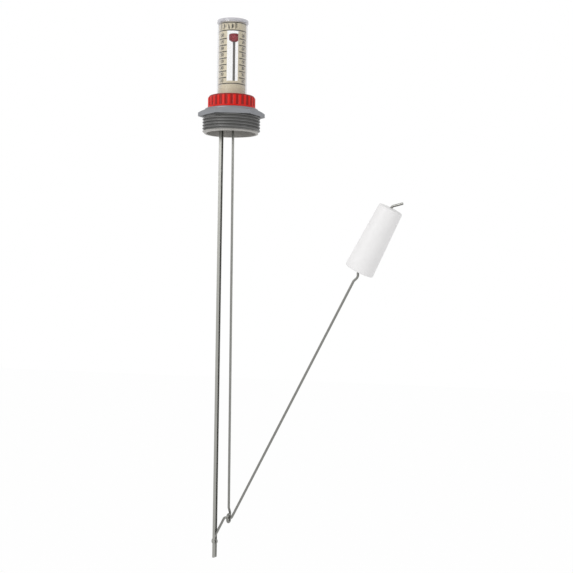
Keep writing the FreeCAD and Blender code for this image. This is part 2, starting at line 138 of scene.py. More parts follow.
class GaugeSizes(bpy.types.PropertyGroup):
    """Sizes that the looks add to the solids"""

    thread_pitch: length("Thread pitch", "Height of one turn of the pipe thread", 2.209 * MM)
    thread_depth: length("Thread depth", "Depth of the pipe thread's grooves", 1.35 * MM)
    rib_count: IntProperty(name="Ribs", description="Grip ribs round the collar", default=26, min=12)
    rib_height: length("Rib height", "How far the collar's ribs stand out", 0.75 * MM)
    collar_lip: length("Collar lip", "Height of the plain lip under the ribs", 1.2 * MM)
    tick_count: IntProperty(name="Marks", description="Marks in each column of the scale",
                            default=7, min=2)
    tick_spacing: length("Mark spacing", "Height from one mark of the scale to the next", 4.73 * MM)
    tick_top: length("Top mark", "Height of the top mark above the origin", 55.8 * MM)
    line_width: length("Line width", "Width of the printed lines and marks", 0.8 * MM)
    digit_height: length("Digit height", "Height of the printed numbers", 2.4 * MM)
    word_height: length("Word height", "Height of the printed word at the card's top", 3.7 * MM)


class GaugeColours(bpy.types.PropertyGroup):
    """Colours of the gauge's materials"""

    casting: colour("Casting", "Grey zinc casting of the bushing", "#86888C")
    # Painted shade: the threads' darker grey stands for the shade in their grooves.
    thread_painted_shade: colour("Cut thread", "Darker metal of the cut threads", "#6E6E6D")
    turned_end: colour("Turned metal", "Bright turned end and bore of the thread", "#ABA9A5")
    gasket: colour("Gasket", "Black rubber of the seal", "#1A1A1B")
    vial: colour("Vial", "Tint that the clear vial takes at its edges", "#C9C8CE")
    card: colour("Card", "Printed outside of the scale card", "#CDC3A9")
    card_back: colour("Card inside", "Unprinted inside of the scale card", "#F1EDEA")
    ink: colour("Ink", "Printed lines and numbers", "#3A3528")
    collar: colour("Collar", "Moulded collar", "#D51606")
    # Painted shade: the dark red at the foot of the grooves stands for the shade there.
    collar_groove_painted_shade: colour("Collar groove", "Foot of the collar's grooves", "#8C0E08")
    strip: colour("Strip", "Rolled zinc-plated strip", "#9C9C97")
    wire: colour("Wire", "Drawn wire of the arm and the rod", "#83837F")
    button: colour("Button", "Moulded button on the rod", "#B5303A")
    float_skin: colour("Float", "Skin of the foam float", "#E7E6E6")
    backdrop: colour("Backdrop", "Floor and backdrop", "#FFFFFF")


def sizes():
    return bpy.context.scene.gauge_sizes


def colours():
    return bpy.context.scene.gauge_colours


def rgba(values):
    return (*values, 1.0)


# Node trees

def add(tree, kind, settings=None, inputs=None):
    """Adds a node with its settings. Its inputs are named, or in order in a tuple.

    Each is a value, a socket to link, or a node that stands for its first output.
    """
    node = tree.nodes.new(kind)
    for name, setting in (settings or {}).items():
        setattr(node, name, setting)
    if isinstance(inputs, tuple):
        inputs = dict(enumerate(inputs))
    for name, source in (inputs or {}).items():
        if isinstance(source, bpy.types.Node):
            source = source.outputs[0]
        if isinstance(source, bpy.types.NodeSocket):
            tree.links.new(source, node.inputs[name])
        else:
            node.inputs[name].default_value = source
    return node


def new_material(name, shader):
    """An empty material and its Principled shader with these fixed values."""
    material = bpy.data.materials.new(name)
    material.use_nodes = True
    tree = material.node_tree
    tree.nodes.clear()
    body = add(tree, "ShaderNodeBsdfPrincipled", None, shader)
    add(tree, "ShaderNodeOutputMaterial", None, {"Surface": body})
    return material, tree, body


def coat(tree, body, tone, height=None, distance=0.0, strength=0.0):
    """Gives a shader its colour and, with a height from 0 to 1, a relief over a real distance."""
    tree.links.new(tone, body.inputs["Base Color"])
    if height:
        relief = add(tree, "ShaderNodeBump", None,
                     {"Height": height, "Distance": distance, "Strength": strength})
        tree.links.new(relief.outputs[0], body.inputs["Normal"])


def object_place(tree):
    return add(tree, "ShaderNodeTexCoord").outputs["Object"]


def grain(tree, grain_size, detail=2.0, stretch=None):
    """Noise on the object's own coordinates whose grains are about one size in metres."""
    place = object_place(tree)
    if stretch:
        place = add(tree, "ShaderNodeMapping", None, {"Vector": place, "Scale": stretch})
    return add(tree, "ShaderNodeTexNoise", None,
               {"Vector": place, "Scale": 1 / grain_size, "Detail": detail}).outputs["Fac"]


def shaded(tree, factor, values, spread):
    """A colour that wavers by spread of its value with factor."""
    dark = rgba([part * (1 - spread) for part in values])
    light = rgba([min(1.0, part * (1 + spread)) for part in values])
    mix = add(tree, "ShaderNodeMix", COLOUR_MIX, {0: factor, MIX_FIRST: dark, MIX_SECOND: light})
    return mix.outputs[MIX_RESULT]


def plan_radius(tree):
    """The distance from the Z axis, in the object's own coordinates."""
    plan = add(tree, "ShaderNodeVectorMath", TIMES, (object_place(tree), (1.0, 1.0, 0.0)))
    return add(tree, "ShaderNodeVectorMath", LENGTH, (plan,)).outputs["Value"]


def object_height(tree):
    return add(tree, "ShaderNodeSeparateXYZ", None, (object_place(tree),)).outputs["Z"]


def step_over(tree, source, edge, width):
    """Rises from 0 to 1 as a value passes an edge, over a width about it."""
    return add(tree, "ShaderNodeMapRange", SMOOTH_STEP, {
        "Value": source, "From Min": edge - width / 2, "From Max": edge + width / 2}).outputs[0]


def seen_directly(tree):
    """1 where the camera, a gloss or clear plastic looks at the surface, and 0 where light does."""
    seen = add(tree, "ShaderNodeLightPath").outputs
    mirrored = add(tree, MATH, PLUS, (seen["Is Camera Ray"], seen["Is Glossy Ray"]))
    through = add(tree, MATH, PLUS, (mirrored, seen["Is Transmission Ray"]))
    return add(tree, MATH, LEAST, (through, 1.0)).outputs[0]


# Materials

def cast_zinc():
    """Zinc casting, blasted: dull grey with a sandy skin, cut threads darkened by painted shade for their
    grooves, and a bright turned bore.
    """
    material, tree, body = new_material(
        "zinc_casting_blasted", {"Metallic": 0.35, "Roughness": 0.48, "Specular IOR Level": 0.35})
    height = object_height(tree)
    above_threads = step_over(tree, height, edge=0.0, width=0.6 * MM)
    above_end = step_over(tree, height, edge=THREAD_CHAMFER - THREAD_LENGTH, width=0.4 * MM)
    outside = step_over(tree, plan_radius(tree), edge=BORE_RADIUS + 0.5 * MM, width=0.4 * MM)
    # Below the flange the threads take the darker grey, as painted shade for their grooves; the turned end
    # and the bore take the bright turned metal.
    cut = add(tree, "ShaderNodeMix", COLOUR_MIX, {
        0: add(tree, MATH, TIMES, (above_end, outside)),
        MIX_FIRST: rgba(colours().turned_end), MIX_SECOND: rgba(colours().thread_painted_shade)})
    skin = shaded(tree, grain(tree, 6 * MM), colours().casting, spread=0.1)
    tone = add(tree, "ShaderNodeMix", COLOUR_MIX, {
        0: add(tree, MATH, MINUS, (1.0, above_threads)),
        MIX_FIRST: skin, MIX_SECOND: cut.outputs[MIX_RESULT]})
    sand = grain(tree, 0.5 * MM, detail=3.0)
    coat(tree, body, tone.outputs[MIX_RESULT], sand, distance=0.05 * MM, strength=0.5)
    return material


def moulded_rubber():
    """Black rubber, moulded: dull and dark, with a soft sheen on its edge."""
    material, tree, body = new_material("nitrile_rubber_moulded", {"Roughness": 0.75})
    coat(tree, body, shaded(tree, grain(tree, 1 * MM), colours().gasket, spread=0.15))
    return material


def clear_acrylic():
    """Acrylic tube, moulded clear: nearly unseen in the middle, grey and glossy at its edges."""
    material, tree, body = new_material(
        "acrylic_clear_moulded", {"Roughness": 0.1, "IOR": 1.49, "Base Color": rgba(colours().vial)})
    edge = add(tree, "ShaderNodeLayerWeight", None, {"Blend": 0.35}).outputs["Facing"]
    wall = add(tree, "ShaderNodeMapRange", None,
               {"Value": edge, "From Min": 0.15, "From Max": 1.0, "To Min": 0.035, "To Max": 0.5})
    closed_end = add(tree, "ShaderNodeMapRange", None, {
        "Value": object_height(tree), "From Min": VIAL_TOP - VIAL_LIP,
        "From Max": VIAL_TOP - VIAL_LIP / 2, "To Min": 0.0, "To Max": 0.45})
    thickness = add(tree, MATH, PLUS, (wall, closed_end))
    tint = add(tree, MATH, LEAST, (thickness, 1.0))
    tree.links.new(tint.outputs[0], body.inputs["Alpha"])
    return material


def printed_card():
    """Printed card, rolled: beige matt print outside, plain white board inside."""
    material, tree, body = new_material("board_printed_rolled", {"Roughness": 0.6})
    outside = add(tree, MATH, {"operation": "GREATER_THAN"}, (plan_radius(tree), CARD_RADIUS - 0.1 * MM))
    print_tone = shaded(tree, grain(tree, 3 * MM), colours().card, spread=0.03)
    tone = add(tree, "ShaderNodeMix", COLOUR_MIX,
               {0: outside, MIX_FIRST: rgba(colours().card_back), MIX_SECOND: print_tone})
    coat(tree, body, tone.outputs[MIX_RESULT])
    return material


def printed_ink():
    """Screen ink on card: a flat dark olive film."""
    material, tree, body = new_material("ink_screen_printed", {"Roughness": 0.55})
    coat(tree, body, shaded(tree, grain(tree, 0.6 * MM), colours().ink, spread=0.12))
    return material


def red_abs():
    """ABS, moulded: satin red with faint flow marks, and painted shade that makes it deeper in the
    grooves.
    """
    material, tree, body = new_material(
        "abs_red_moulded", {"Roughness": 0.38, "IOR": 1.53, "Specular IOR Level": 0.22})
    flow = grain(tree, 9 * MM, stretch=(1.0, 1.0, 0.3))
    on_crest = step_over(tree, plan_radius(tree), edge=COLLAR_WALL + 0.3 * MM, width=0.6 * MM)
    # Painted shade: off the crests of the ribs the red turns to the darker groove tone.
    tone = add(tree, "ShaderNodeMix", COLOUR_MIX, {
        0: on_crest, MIX_FIRST: rgba(colours().collar_groove_painted_shade),
        MIX_SECOND: shaded(tree, flow, colours().collar, spread=0.07)})
    coat(tree, body, tone.outputs[MIX_RESULT], grain(tree, 0.8 * MM), distance=0.02 * MM, strength=0.3)
    return material


def plated_strip():
    """Zinc-plated steel, rolled: pale grey metal with faint rolling lines along its length."""
    material, tree, body = new_material("steel_zinc_plated_rolled", {"Metallic": 0.85, "Roughness": 0.38})
    lines = grain(tree, 0.5 * MM, detail=3.0, stretch=(1.0, 1.0, 0.02))
    coat(tree, body, shaded(tree, lines, colours().strip, spread=0.12), lines,
         distance=0.02 * MM, strength=0.35)
    return material


def drawn_wire():
    """Steel wire, drawn: darker than the strip, with a soft bright line down its side."""
    material, tree, body = new_material("steel_wire_drawn", {"Metallic": 0.9, "Roughness": 0.3})
    coat(tree, body, shaded(tree, grain(tree, 5 * MM), colours().wire, spread=0.1),
         grain(tree, 0.4 * MM), distance=0.01 * MM, strength=0.3)
    return material


def button_plastic():
    """Polypropylene, moulded: a muted red with a waxy, soft sheen."""
    material, tree, body = new_material("polypropylene_red_moulded", {"Roughness": 0.45, "IOR": 1.49})
    coat(tree, body, shaded(tree, grain(tree, 2 * MM), colours().button, spread=0.06))
    return material


def float_foam():
    """Closed-cell foam with its moulded skin: chalky white, faintly pebbled."""
    material, tree, body = new_material("foam_skin_white_moulded", {"Roughness": 0.55})
    coat(tree, body, shaded(tree, grain(tree, 12 * MM), colours().float_skin, spread=0.02),
         grain(tree, 1.1 * MM), distance=0.05 * MM, strength=0.35)
    return material


def studio_white():
    """Painted board: white, seen nearly unlit by the camera, and it keeps a faint shadow."""
    material, tree, body = new_material("studio_board_white", {"Roughness": 0.9})
    body.inputs["Base Color"].default_value = rgba(colours().backdrop)
    share = add(tree, MATH, TIMES, (seen_directly(tree), FLOOR_GLOW))
    glow = add(tree, "ShaderNodeEmission", None, {"Color": rgba(colours().backdrop), "Strength": 1.0})
    mix = add(tree, "ShaderNodeMixShader", None, (share, body, glow))
    output = next(node for node in tree.nodes if node.type == "OUTPUT_MATERIAL")
    tree.links.new(mix.outputs[0], output.inputs["Surface"])
    return material


# Meshes

def dress(piece, body, material=None):
    """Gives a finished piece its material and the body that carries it."""
    if material:
        piece.data.materials.clear()
        piece.data.materials.append(material)
    if "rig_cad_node" not in piece:
        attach(piece, body)


def dress_nodes(names, material):
    """CAD nodes that are shown as they are, with their material."""
    for name in names:
        dress(frame["nodes"][name], None, material)


def linked(name, data):
    piece = bpy.data.objects.new(name, data)
    bpy.context.scene.collection.objects.link(piece)
    return piece


def soften(mesh, degrees):
    """Smooth faces, with a sharp edge where two faces turn by more than these degrees."""
    work = bmesh.new()
    work.from_mesh(mesh)
    for face in work.faces:
        face.smooth = True
    for edge in work.edges:
        edge.smooth = len(edge.link_faces) == 2 and edge.calc_face_angle(0.0) < math.radians(degrees)
    work.to_mesh(mesh)
    work.free()


def arc(centre, radius, start, end, steps):
    """Corners along an arc in (radius, height), by angles in degrees."""
    turns = [math.radians(start + (end - start) * step / steps) for step in range(steps + 1)]
    return [(centre[0] + radius * math.cos(turn), centre[1] + radius * math.sin(turn)) for turn in turns]


def lathe(name, outline, segments):
    """A closed ring from a closed outline of (radius, height) corners, turned about Z."""
    work = bmesh.new()
    rings = []
    for step in range(segments):
        turn = 2 * math.pi * step / segments
        rings.append([work.verts.new((radius * math.cos(turn), radius * math.sin(turn), height))
                      for radius, height in outline])
    count = len(outline)
    for step, ring in enumerate(rings):
        following = rings[(step + 1) % segments]
        for place in range(count):
            after = (place + 1) % count
            work.faces.new((ring[place], following[place], following[after], ring[after]))
    bmesh.ops.recalc_face_normals(work, faces=work.faces)
    mesh = bpy.data.meshes.new(name)
    work.to_mesh(mesh)
    work.free()
    return mesh


def plain_mesh(source):
    """The mesh that an object's modifiers, or a text object, come to."""
    graph = bpy.context.evaluated_depsgraph_get()
    graph.update()
    return bpy.data.meshes.new_from_object(source.evaluated_get(graph), depsgraph=graph)


def tree_with(name, inputs):
    """An empty geometry tree with a Geometry input, these named inputs and a Geometry output."""
    tree = bpy.data.node_groups.new(name, "GeometryNodeTree")
    tree.interface.new_socket("Geometry", in_out="INPUT", socket_type="NodeSocketGeometry")
    for label, kind in inputs:
        tree.interface.new_socket(label, in_out="INPUT", socket_type=kind)
    tree.interface.new_socket("Geometry", in_out="OUTPUT", socket_type="NodeSocketGeometry")
    return tree, tree.nodes.new("NodeGroupInput").outputs


def close_tree(tree, geometry, material):
    """Ends a tree in Realize Instances and Set Material."""
    real = add(tree, "GeometryNodeRealizeInstances", None, (geometry,))
    coated = add(tree, "GeometryNodeSetMaterial", None, {"Geometry": real, "Material": material})
    add(tree, "NodeGroupOutput", None, (coated,))


def grown(name, start, tree, material, values):
    """The plain mesh that a geometry tree with these input values makes from a starting mesh."""
    source = linked(name + "_source", start)
    modifier = source.modifiers.new("grow", "NODES")
    modifier.node_group = tree
    for item in tree.interface.items_tree:
        if item.in_out == "INPUT" and item.name in values:
            modifier[item.identifier] = values[item.name]
    mesh = plain_mesh(source)
    source.modifiers.clear()
    bpy.data.objects.remove(source)
    if not mesh.polygons:
        raise RuntimeError("the tree of " + name + " made nothing")
    mesh.name = name
    mesh.materials.clear()
    mesh.materials.append(material)
    mesh.polygons.foreach_set("material_index", [0] * len(mesh.polygons))
    return linked(name, mesh)


# Bushing

THREAD_STEPS = 144
THREAD_FOOT_SHARE = 0.98
THREAD_CREST_SHARE = 0.2
THREAD_SINK_SHARE = 0.25
PLAIN_TURN = 0.15
THREAD_GAP = 0.1 * MM
CREST_GAP = 0.01 * MM
MERGE_DISTANCE = 0.002 * MM


def thread_tree(material):
    """A helical ridge with a trapezoid section, held inside the cone of the end chamfer."""
    tree, given = tree_with("pipe_thread", (
        ("Pitch", "NodeSocketFloat"), ("Turns", "NodeSocketFloat"), ("Start Height", "NodeSocketFloat"),
        ("Root Radius", "NodeSocketFloat"), ("Crest Radius", "NodeSocketFloat"),
        ("End Height", "NodeSocketFloat"), ("Chamfer", "NodeSocketFloat")))
    helix = add(tree, "GeometryNodeCurveSpiral", None, {
        "Resolution": THREAD_STEPS, "Rotations": given["Turns"], "Start Radius": given["Root Radius"],
        "End Radius": given["Root Radius"],
        "Height": add(tree, MATH, TIMES, (given["Pitch"], given["Turns"]))})
    upright = add(tree, "GeometryNodeSetCurveNormal", {"mode": "Z_UP"}, {"Curve": helix})
    depth = add(tree, MATH, MINUS, (given["Crest Radius"], given["Root Radius"]))
    sink = add(tree, MATH, TIMES, (depth, THREAD_SINK_SHARE))
    section = add(tree, "GeometryNodeCurvePrimitiveQuadrilateral", {"mode": "TRAPEZOID"}, {
        "Bottom Width": add(tree, MATH, TIMES, (given["Pitch"], THREAD_FOOT_SHARE)),
        "Top Width": add(tree, MATH, TIMES, (given["Pitch"], THREAD_CREST_SHARE)),
        "Offset": 0.0,
        "Height": add(tree, MATH, PLUS, (depth, sink))})
    shown = add(tree, MATH, MINUS, (depth, sink))
    outward = add(tree, "ShaderNodeCombineXYZ", None, {"X": add(tree, MATH, TIMES, (shown, -0.5))})
    centred = add(tree, "GeometryNodeTransform", None, {
        "Geometry": section, "Rotation": (0, 0, math.pi / 2), "Translation": outward})
    swept = add(tree, "GeometryNodeCurveToMesh", None, {
        "Curve": upright, "Profile Curve": centred, "Fill Caps": True})

    split = add(tree, "ShaderNodeSeparateXYZ", None, (add(tree, "GeometryNodeInputPosition"),)).outputs
    plan = add(tree, "ShaderNodeCombineXYZ", None, {"X": split["X"], "Y": split["Y"]})
    radius = add(tree, "ShaderNodeVectorMath", LENGTH, (plan,)).outputs["Value"]
    height = add(tree, MATH, PLUS, (split["Z"], given["Start Height"]))
    above_end = add(tree, MATH, MINUS, (height, given["End Height"]))
    cone_foot = add(tree, MATH, MINUS, (given["Crest Radius"], given["Chamfer"]))
    cone = add(tree, MATH, PLUS, (cone_foot, above_end))
    limit = add(tree, MATH, LEAST, (cone, given["Crest Radius"]))
    held = add(tree, MATH, LEAST, (radius, limit))
    scale = add(tree, MATH, OVER, (held, radius))
    floor = add(tree, MATH, PLUS, (given["End Height"], THREAD_GAP))
    moved = add(tree, "ShaderNodeCombineXYZ", None, {
        "X": add(tree, MATH, TIMES, (split["X"], scale)),
        "Y": add(tree, MATH, TIMES, (split["Y"], scale)),
        "Z": add(tree, MATH, MOST, (height, floor))})
    placed = add(tree, "GeometryNodeSetPosition", None, {"Geometry": swept, "Position": moved})
    close_tree(tree, placed, material)
    return tree


def thread_root():
    return THREAD_RADIUS - sizes().thread_depth


def bushing_shell():
    """The bushing's solid with its thread's cylinder turned down to the root of the thread."""
    work = bmesh.new()
    work.from_mesh(frame["nodes"]["hex_bushing"].data)
    bmesh.ops.remove_doubles(work, verts=work.verts, dist=MERGE_DISTANCE)
    for vertex in work.verts:
        radius = vertex.co.xy.length
        on_thread = THREAD_GAP - THREAD_LENGTH < vertex.co.z < THREAD_GAP
        if on_thread and thread_root() < radius < THREAD_RADIUS + 2 * CREST_GAP:
            vertex.co.xy *= thread_root() / radius
    mesh = bpy.data.meshes.new("bushing")
    work.to_mesh(mesh)
    work.free()
    soften(mesh, degrees=25)
    return linked("bushing", mesh)


class GAUGE_OT_bushing(bpy.types.Operator):
    """Makes the cast hex bushing and its pipe thread"""

    bl_idname = "gauge.bushing"
    bl_label = "Bushing"

    def execute(self, context):
        material = cast_zinc()
        shell = bushing_shell()
        dress(shell, "head", material)
        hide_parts("hex_bushing")
        pitch = sizes().thread_pitch
        start = bpy.data.meshes.new("pipe_thread_start")
        thread = grown("pipe_thread", start, thread_tree(material), material, {
            "Pitch": pitch, "Turns": THREAD_LENGTH / pitch - 2 * PLAIN_TURN,
            "Start Height": PLAIN_TURN * pitch - THREAD_LENGTH,
            "Root Radius": thread_root(), "Crest Radius": THREAD_RADIUS - CREST_GAP,
            "End Height": -THREAD_LENGTH, "Chamfer": THREAD_CHAMFER})
        soften(thread.data, degrees=25)
        dress(thread, "head")
        return {"FINISHED"}


# Vial, card and print

CARD_FRONT = math.radians(12)
WINDOW_MIDDLE = math.radians(28)
SEAM_HALF = math.radians(30)
LEFT_COLUMN = (math.radians(-46), math.radians(3.2))
RIGHT_COLUMN = (math.radians(57), math.radians(102))
LINE_HEIGHTS = (67.5 * MM, 61.8 * MM, 23.1 * MM)
WORD = "LEVEL"
WORD_BASE = 63.0 * MM
WORD_WEIGHT = 0.1
WORD_SPREAD = 1.12
NUMBER_STEP = 10
NUMBER_GAP = 0.85 * MM
NUMBER_WEIGHT = 0.07
CAPITAL_SHARE = 0.72
INK_THICKNESS = 0.012 * MM
TEXT_LIFT = 0.004 * MM
PRINT_RADIUS = CARD_RADIUS + INK_THICKNESS
MARK_CORNERS = 24
RING_CORNERS = 256


class GAUGE_OT_vial(bpy.types.Operator):
    """Gives the vial its clear plastic and the gasket its rubber"""

    bl_idname = "gauge.vial"
    bl_label = "Vial"

    def execute(self, context):
        dress_nodes(("vial",), clear_acrylic())
        dress_nodes(("vial_gasket",), moulded_rubber())
        return {"FINISHED"}


def mark_tree(material):
    """Rows of flat marks, bent round the card: a width of arc, a count and a spacing down."""
    tree, given = tree_with("card_marks", (
        ("Count", "NodeSocketInt"), ("Spacing", "NodeSocketFloat"), ("Top", "NodeSocketFloat"),
        ("Middle", "NodeSocketFloat"), ("Arc", "NodeSocketFloat"), ("Line Width", "NodeSocketFloat"),
        ("Radius", "NodeSocketFloat"), ("Thickness", "NodeSocketFloat"), ("Corners", "NodeSocketInt")))
    down = add(tree, "ShaderNodeCombineXYZ", None, {"Z": add(tree, MATH, TIMES, (given["Spacing"], -1.0))})
    top = add(tree, "ShaderNodeCombineXYZ", None, {"Z": given["Top"]})
    rows = add(tree, "GeometryNodeMeshLine", None,
               {"Count": given["Count"], "Start Location": top, "Offset": down})
    size = add(tree, "ShaderNodeCombineXYZ", None,
               {"X": given["Arc"], "Y": given["Thickness"], "Z": given["Line Width"]})
    mark = add(tree, "GeometryNodeMeshCube", None, {"Size": size, "Vertices X": given["Corners"]})
    marks = add(tree, "GeometryNodeInstanceOnPoints", None, {"Points": rows, "Instance": mark})
    flat = add(tree, "GeometryNodeRealizeInstances", None, (marks,))

    split = add(tree, "ShaderNodeSeparateXYZ", None, (add(tree, "GeometryNodeInputPosition"),)).outputs
    angle = add(tree, MATH, PLUS, (split["X"], given["Middle"]))
    radius = add(tree, MATH, MINUS, (given["Radius"], split["Y"]))
    across = add(tree, MATH, TIMES, (radius, add(tree, MATH, {"operation": "SINE"}, (angle,))))
    aside = add(tree, MATH, TIMES, (radius, add(tree, MATH, {"operation": "COSINE"}, (angle,))))
    bent = add(tree, "ShaderNodeCombineXYZ", None,
               {"X": across, "Y": add(tree, MATH, TIMES, (aside, -1.0)), "Z": split["Z"]})
    placed = add(tree, "GeometryNodeSetPosition", None, {"Geometry": flat, "Position": bent})
    close_tree(tree, placed, material)
    return tree


def printed_text(words, height, middle, base, weight, spread=1.0):
    """Words as a flat mesh bent round the card, at an angle from -Y and a height for their foot."""
    curve = bpy.data.curves.new("print", "FONT")
    curve.body = words
    curve.size = height / CAPITAL_SHARE
    curve.align_x = "CENTER"
    curve.resolution_u = 3
    curve.space_character = spread
    curve.offset = height * weight
    writer = linked("print_source", curve)
    mesh = plain_mesh(writer)
    bpy.data.objects.remove(writer)
    radius = PRINT_RADIUS + TEXT_LIFT
    for vertex in mesh.vertices:
        along = middle + vertex.co.x / PRINT_RADIUS
        vertex.co = Vector((radius * math.sin(along), -radius * math.cos(along), base + vertex.co.y))
    return mesh


def joined(name, meshes):
    work = bmesh.new()
    for mesh in meshes:
        work.from_mesh(mesh)
    mesh = bpy.data.meshes.new(name)
    work.to_mesh(mesh)
    work.free()
    return linked(name, mesh)


def card_texts():
    """The word at the card's top and a falling number over each mark of both columns."""
    size = sizes()
    texts = [printed_text(WORD, size.word_height, CARD_FRONT, WORD_BASE, WORD_WEIGHT, WORD_SPREAD)]
    for row in range(size.tick_count + 1):
        digits = str(NUMBER_STEP * (size.tick_count + 1 - row))
        mark = size.tick_top + (1 - row) * size.tick_spacing
        foot = mark - size.digit_height - NUMBER_GAP
        for start, end in (LEFT_COLUMN, RIGHT_COLUMN):
            texts.append(printed_text(digits, size.digit_height, (start + end) / 2, foot, NUMBER_WEIGHT))
    return texts


class GAUGE_OT_scale_card(bpy.types.Operator):
    """Dresses the rolled card and prints its lines, marks and numbers"""

    bl_idname = "gauge.scale_card"
    bl_label = "Scale card"

    def execute(self, context):
        size = sizes()
        ink = printed_ink()
        dress_nodes(("scale_card",), printed_card())
        tree = mark_tree(ink)
        empty = bpy.data.meshes.new("marks_start")
        common = {"Radius": PRINT_RADIUS, "Thickness": INK_THICKNESS, "Line Width": size.line_width}
        for name, (start, end) in (("card_marks_left", LEFT_COLUMN), ("card_marks_right", RIGHT_COLUMN)):
            marks = grown(name, empty, tree, ink, {
                **common, "Count": size.tick_count, "Spacing": size.tick_spacing, "Top": size.tick_top,
                "Middle": (start + end) / 2, "Arc": end - start, "Corners": MARK_CORNERS})
            dress(marks, "head")
        for number, height in enumerate(LINE_HEIGHTS, start=1):
            ring = grown("card_line_%d" % number, empty, tree, ink, {
                **common, "Count": 1, "Spacing": 0.0, "Top": height,
                "Middle": WINDOW_MIDDLE, "Arc": 2 * (math.pi - SEAM_HALF), "Corners": RING_CORNERS})
            dress(ring, "head")
        dress(joined("card_numbers", card_texts()), "head", ink)
        return {"FINISHED"}


# Collar

COLLAR_HOLE = 11.3 * MM
COLLAR_SKIRT = 14.45 * MM
COLLAR_PLATE = 2.3 * MM
COLLAR_ROUND = 1.0 * MM
EDGE_ROUND = 0.25 * MM
LIP_SLOPE = 0.02 * MM
LIP_STEP = 0.12 * MM
RIB_CORNERS = 20
RIB_FLANK = 0.9
RIB_FADE = 0.9 * MM
RIB_ROWS = (1.0, 0.7, 0.45, 0.25, 0.1, 0.03)


def rib_tree(material):
    """Raises rounded ribs on the outer wall of a turned collar, faded out at their upper end."""
    tree, given = tree_with("collar_ribs", (
        ("Ribs", "NodeSocketInt"), ("Rib Height", "NodeSocketFloat"), ("Wall Radius", "NodeSocketFloat"),
        ("Low", "NodeSocketFloat"), ("High", "NodeSocketFloat"), ("Fade", "NodeSocketFloat")))
    split = add(tree, "ShaderNodeSeparateXYZ", None, (add(tree, "GeometryNodeInputPosition"),)).outputs
    plan = add(tree, "ShaderNodeCombineXYZ", None, {"X": split["X"], "Y": split["Y"]})
    radius = add(tree, "ShaderNodeVectorMath", LENGTH, (plan,)).outputs["Value"]
    outward = add(tree, "ShaderNodeVectorMath", {"operation": "NORMALIZE"}, (plan,))
    angle = add(tree, MATH, {"operation": "ARCTAN2"}, (split["Y"], split["X"]))
    turned = add(tree, MATH, TIMES, (angle, given["Ribs"]))
    wave = add(tree, MATH, {"operation": "COSINE"}, (turned,))
    rib = add(tree, "ShaderNodeMapRange", SMOOTH_STEP,
              {"Value": wave, "From Min": -RIB_FLANK, "From Max": RIB_FLANK})

    from_wall = add(tree, MATH, MINUS, (radius, given["Wall Radius"]))
    off_wall = add(tree, MATH, {"operation": "ABSOLUTE"}, (from_wall,))
    on_wall = add(tree, MATH, {"operation": "LESS_THAN"}, (off_wall, 0.01 * MM))
    above_lip = add(tree, MATH, {"operation": "GREATER_THAN"}, (split["Z"], given["Low"]))
    ribbed = add(tree, MATH, TIMES, (on_wall, above_lip))

    below_top = add(tree, MATH, MINUS, (given["High"], split["Z"]))
    share = add(tree, MATH, OVER, (below_top, given["Fade"]))
    held = add(tree, MATH, LEAST, (add(tree, MATH, MOST, (share, 0.0)), 1.0))
    rounded = add(tree, MATH, MINUS, (1.0, held))
    squared = add(tree, MATH, {"operation": "POWER"}, (rounded, 2.0))
    fade = add(tree, MATH, {"operation": "SQRT"}, (add(tree, MATH, MINUS, (1.0, squared)),))

    amount = add(tree, MATH, TIMES, (add(tree, MATH, TIMES, (rib, fade)), ribbed))
    shift = add(tree, MATH, TIMES, (amount, given["Rib Height"]))
    offset = add(tree, "ShaderNodeVectorMath", {"operation": "SCALE"}, {0: outward, "Scale": shift})
    raised = add(tree, "GeometryNodeSetPosition", None, {"Geometry": given["Geometry"], "Offset": offset})
    close_tree(tree, raised, material)
    return tree


def collar_outline():
    """The collar's section, from the foot of its skirt outwards and round."""
    size = sizes()
    low = COLLAR_LOW.z
    high = COLLAR_HIGH.z
    crest = COLLAR_WALL + size.rib_height
    lip_top = low + size.collar_lip
    wall_top = high - COLLAR_ROUND
    outline = [(COLLAR_SKIRT, low)]
    outline += arc((crest - EDGE_ROUND, low + EDGE_ROUND), EDGE_ROUND, -90, 0, steps=4)
    outline += [(crest, lip_top), (COLLAR_WALL, lip_top + LIP_SLOPE)]
    outline += [(COLLAR_WALL, wall_top - RIB_FADE * share) for share in RIB_ROWS]
    outline += arc((COLLAR_WALL - COLLAR_ROUND, wall_top), COLLAR_ROUND, 0, 90, steps=8)
    outline += arc((COLLAR_HOLE + EDGE_ROUND, high - EDGE_ROUND), EDGE_ROUND, 90, 180, steps=3)
    outline += [(COLLAR_HOLE, high - COLLAR_PLATE), (COLLAR_SKIRT, high - COLLAR_PLATE)]
    return outline


class GAUGE_OT_collar(bpy.types.Operator):
    """Makes the red collar with its rounded grip ribs"""

    bl_idname = "gauge.collar"
    bl_label = "Collar"

    def execute(self, context):
        size = sizes()
        blank = lathe("collar_blank", collar_outline(), size.rib_count * RIB_CORNERS)
        material = red_abs()
        collar = grown("collar", blank, rib_tree(material), material, {
            "Ribs": size.rib_count, "Rib Height": size.rib_height - LIP_STEP, "Wall Radius": COLLAR_WALL,
            "Low": COLLAR_LOW.z + size.collar_lip, "High": COLLAR_HIGH.z - COLLAR_ROUND,
            "Fade": RIB_FADE})
        soften(collar.data, degrees=50)
        dress(collar, "head")
        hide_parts("lock_collar")
        return {"FINISHED"}


# Strip, wires and button

class GAUGE_OT_support(bpy.types.Operator):
    """Gives the support strip, its rivet and the pivot pin their plated steel"""

    bl_idname = "gauge.support"
    bl_label = "Support strip"

    def execute(self, context):
        dress_nodes(("support_channel", "support_rivet", "pivot_pin"), plated_strip())
        return {"FINISHED"}


